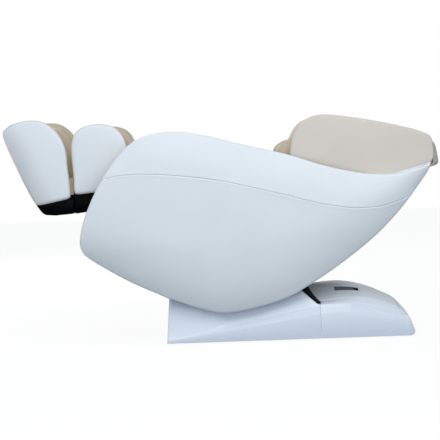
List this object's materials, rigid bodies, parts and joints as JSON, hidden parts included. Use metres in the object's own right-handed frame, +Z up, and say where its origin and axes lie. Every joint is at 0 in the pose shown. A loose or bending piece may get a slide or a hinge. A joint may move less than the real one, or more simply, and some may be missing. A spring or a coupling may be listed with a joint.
{
  "type": "massage chair",
  "caption": "Full-body massage chair in a rocking pod on a low base, with folding legrest, sliding foot section, roller carriage and head pillow.",
  "frame": {"origin": "middle of the overall footprint, on the floor under the feet", "axes": "+X towards the head end, +Y to the sitter's right, +Z up"},
  "size_m": [1.7967, 0.75, 0.9329],
  "materials": {
    "shell_leather": "satin",
    "hood_leather": "satin",
    "lining_leather": "satin",
    "back_plastic": "matte",
    "base_plastic": "gloss",
    "black_gloss": "gloss",
    "dark_plastic": "satin",
    "black_rubber": "matte",
    "frame_steel": "satin",
    "bright_steel": "satin",
    "cast_aluminium": "matte",
    "roller_plastic": "satin"
  },
  "bodies": {
    "base": {"base_frame": "frame_steel", "front_base_cover": "base_plastic", "rear_base_cover": "base_plastic", "deck_panel": "base_plastic", "deck_seal": "black_rubber", "switch_tray": "dark_plastic", "power_inlet": "black_gloss", "tilt_gear_motor": "cast_aluminium", "control_box": "dark_plastic", "air_pump": "dark_plastic", "front_right_foot": "black_rubber", "front_left_foot": "black_rubber", "rear_right_foot": "black_rubber", "rear_left_foot": "black_rubber"},
    "pod": {"pod_frame": "frame_steel", "left_arc_rail": "frame_steel", "right_arc_rail": "frame_steel", "sector_rack": "bright_steel", "left_side_shell": "shell_leather", "right_side_shell": "shell_leather", "left_arm_pad": "lining_leather", "right_arm_pad": "lining_leather", "left_head_wing": "hood_leather", "right_head_wing": "hood_leather", "left_shoulder_pad": "lining_leather", "right_shoulder_pad": "lining_leather", "seat_cushion": "lining_leather", "back_cushion": "lining_leather", "back_cover": "back_plastic", "front_valance": "black_gloss", "belly_pan": "black_gloss", "massage_track": "frame_steel", "legrest_motor": "cast_aluminium"},
    "power_rocker": {"power_rocker": "black_gloss"},
    "tilt_pinion": {"tilt_pinion": "bright_steel"},
    "left_front_cradle_roller": {"left_front_cradle_roller": "roller_plastic"},
    "left_rear_cradle_roller": {"left_rear_cradle_roller": "roller_plastic"},
    "left_transport_wheel": {"left_transport_wheel": "black_rubber"},
    "right_front_cradle_roller": {"right_front_cradle_roller": "roller_plastic"},
    "right_rear_cradle_roller": {"right_rear_cradle_roller": "roller_plastic"},
    "right_transport_wheel": {"right_transport_wheel": "black_rubber"},
    "pillow": {"head_pillow": "lining_leather"},
    "carriage": {"carriage_frame": "cast_aluminium"},
    "left_kneading_arm": {"left_kneading_arm": "cast_aluminium"},
    "left_lower_roller": {"left_lower_roller": "roller_plastic"},
    "left_upper_roller": {"left_upper_roller": "roller_plastic"},
    "right_kneading_arm": {"right_kneading_arm": "cast_aluminium"},
    "right_lower_roller": {"right_lower_roller": "roller_plastic"},
    "right_upper_roller": {"right_upper_roller": "roller_plastic"},
    "legrest": {"left_calf_panel": "shell_leather", "right_calf_panel": "shell_leather", "calf_pad": "lining_leather", "legrest_chassis": "black_gloss", "bellows": "lining_leather"},
    "footrest": {"left_foot_panel": "shell_leather", "right_foot_panel": "shell_leather", "foot_pad": "lining_leather", "foot_chassis": "black_gloss"},
    "bumper": {"bumper_roller": "black_rubber"}
  },
  "joints": [
    {"name": "pod_tilt", "type": "hinge", "parent": "base", "child": "pod", "pos_m": [0.005, 0, 0.743], "axis": [0, -1, 0], "range_deg": [0, 28]},
    {"name": "pinion_spin", "type": "hinge", "parent": "base", "child": "tilt_pinion", "pos_m": [0.005, 0, 0.121], "axis": [0, -1, 0], "range_deg": [-520, 0]},
    {"name": "left_front_roller_spin", "type": "hinge", "parent": "base", "child": "left_front_cradle_roller", "pos_m": [-0.17605, -0.177, 0.18578], "axis": [0, -1, 0], "range_deg": [-800, 0]},
    {"name": "left_rear_roller_spin", "type": "hinge", "parent": "base", "child": "left_rear_cradle_roller", "pos_m": [0.18605, -0.177, 0.18578], "axis": [0, -1, 0], "range_deg": [-800, 0]},
    {"name": "right_front_roller_spin", "type": "hinge", "parent": "base", "child": "right_front_cradle_roller", "pos_m": [-0.17605, 0.177, 0.18578], "axis": [0, -1, 0], "range_deg": [-800, 0]},
    {"name": "right_rear_roller_spin", "type": "hinge", "parent": "base", "child": "right_rear_cradle_roller", "pos_m": [0.18605, 0.177, 0.18578], "axis": [0, -1, 0], "range_deg": [-800, 0]},
    {"name": "left_wheel_spin", "type": "hinge", "parent": "base", "child": "left_transport_wheel", "pos_m": [0.69, -0.208, 0.028], "axis": [0, 1, 0], "continuous": true},
    {"name": "right_wheel_spin", "type": "hinge", "parent": "base", "child": "right_transport_wheel", "pos_m": [0.69, 0.208, 0.028], "axis": [0, 1, 0], "continuous": true},
    {"name": "power_rock", "type": "hinge", "parent": "base", "child": "power_rocker", "pos_m": [0.46, -0.1225, 0.154], "axis": [0, 1, 0], "range_deg": [-8, 8]},
    {"name": "legrest_lift", "type": "hinge", "parent": "pod", "child": "legrest", "pos_m": [-0.44, 0, 0.585], "axis": [0, 1, 0], "range_deg": [-38, 0]},
    {"name": "footrest_extend", "type": "slide", "parent": "legrest", "child": "footrest", "axis": [-0.9962, 0, -0.0872], "range_m": [0, 0.08], "deforming": ["bellows"]},
    {"name": "bumper_spin", "type": "hinge", "parent": "footrest", "child": "bumper", "pos_m": [-0.714, 0, 0.545], "axis": [0, 1, 0], "continuous": true},
    {"name": "carriage_travel", "type": "hinge", "parent": "pod", "child": "carriage", "pos_m": [-0.475, 0, 2.426], "axis": [0, -1, 0], "range_deg": [-4.6, 6.2]},
    {"name": "left_knead", "type": "hinge", "parent": "carriage", "child": "left_kneading_arm", "pos_m": [0.34539, 0, 0.39547], "axis": [0, 1, 0], "range_deg": [-6, 6]},
    {"name": "right_knead", "type": "hinge", "parent": "carriage", "child": "right_kneading_arm", "pos_m": [0.34539, 0, 0.39547], "axis": [0, 1, 0], "range_deg": [-6, 6]},
    {"name": "left_lower_roller_spin", "type": "hinge", "parent": "left_kneading_arm", "child": "left_lower_roller", "pos_m": [0.28886, -0.078, 0.39916], "axis": [0, 1, 0], "continuous": true},
    {"name": "left_upper_roller_spin", "type": "hinge", "parent": "left_kneading_arm", "child": "left_upper_roller", "pos_m": [0.38349, -0.078, 0.43739], "axis": [0, 1, 0], "continuous": true},
    {"name": "right_lower_roller_spin", "type": "hinge", "parent": "right_kneading_arm", "child": "right_lower_roller", "pos_m": [0.28886, 0.078, 0.39916], "axis": [0, 1, 0], "continuous": true},
    {"name": "right_upper_roller_spin", "type": "hinge", "parent": "right_kneading_arm", "child": "right_upper_roller", "pos_m": [0.38349, 0.078, 0.43739], "axis": [0, 1, 0], "continuous": true},
    {"name": "pillow_flip", "type": "hinge", "parent": "pod", "child": "pillow", "pos_m": [0.76564, 0, 0.79152], "axis": [0, 1, 0], "range_deg": [0, 75]}
  ],
  "couplings": [
    {"joint": "pinion_spin", "follows": "pod_tilt", "ratio": -18.438},
    {"joint": "left_front_roller_spin", "follows": "pod_tilt", "ratio": -28.28},
    {"joint": "left_rear_roller_spin", "follows": "pod_tilt", "ratio": -28.28},
    {"joint": "right_front_roller_spin", "follows": "pod_tilt", "ratio": -28.28},
    {"joint": "right_rear_roller_spin", "follows": "pod_tilt", "ratio": -28.28},
    {"joint": "right_knead", "follows": "left_knead", "ratio": -1}
  ]
}
